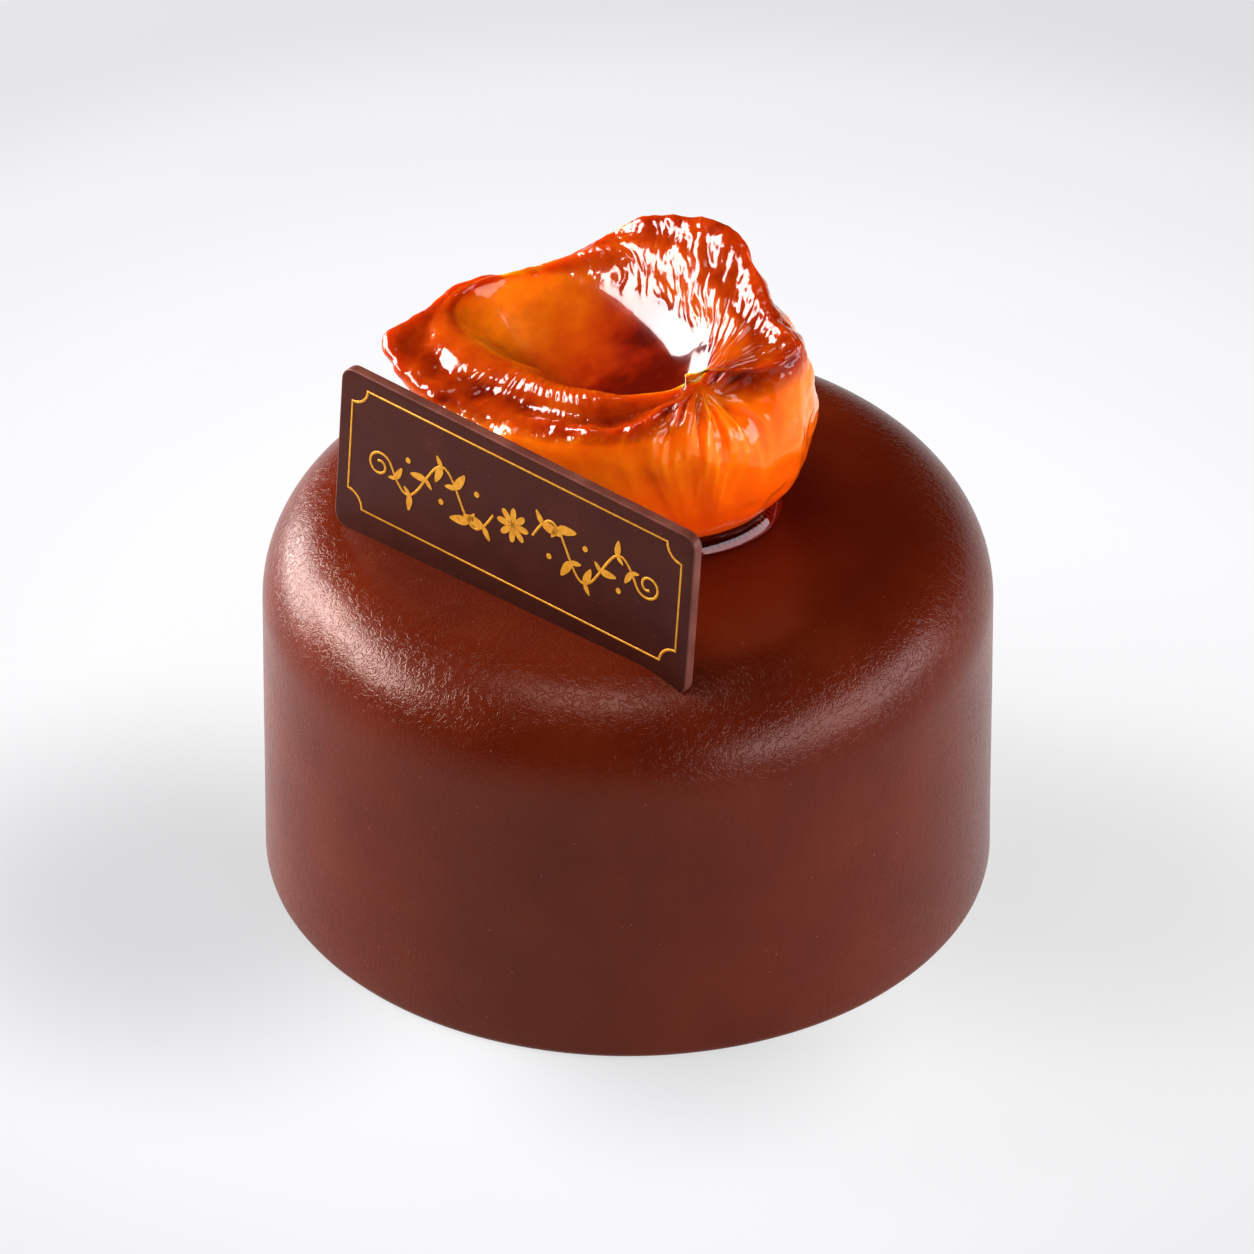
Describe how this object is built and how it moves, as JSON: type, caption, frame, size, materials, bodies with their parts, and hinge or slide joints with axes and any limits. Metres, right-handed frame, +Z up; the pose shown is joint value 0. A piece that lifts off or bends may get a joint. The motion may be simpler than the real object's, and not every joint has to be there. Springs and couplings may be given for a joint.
{
  "type": "sachertorte cake",
  "caption": "Single-portion round chocolate cake with a smooth coat, topped by a glazed candied apricot half and an upright thin chocolate plaque.",
  "frame": {"origin": "middle of the flat underside, on the surface that the cake stands on", "axes": "+Z up; -Y towards the viewer of the picture, +X to that viewer's right"},
  "size_m": [0.0704, 0.0704, 0.0663],
  "materials": {
    "chocolate_coat": "milk and dark chocolate coat, satin, with fine crinkles where it was chilled",
    "candied_apricot": "candied fruit flesh, orange to red-brown, translucent under a wet syrup glaze",
    "dark_chocolate": "tempered dark chocolate sheet, satin, with a faint bloom and fine specks",
    "gold_print": "gold-coloured cocoa butter print, satin",
    "syrup": "clear amber sugar syrup, wet"
  },
  "bodies": {
    "root": {"cake": "chocolate_coat", "apricot": "candied_apricot", "plaque": "dark_chocolate"}
  },
  "joints": []
}
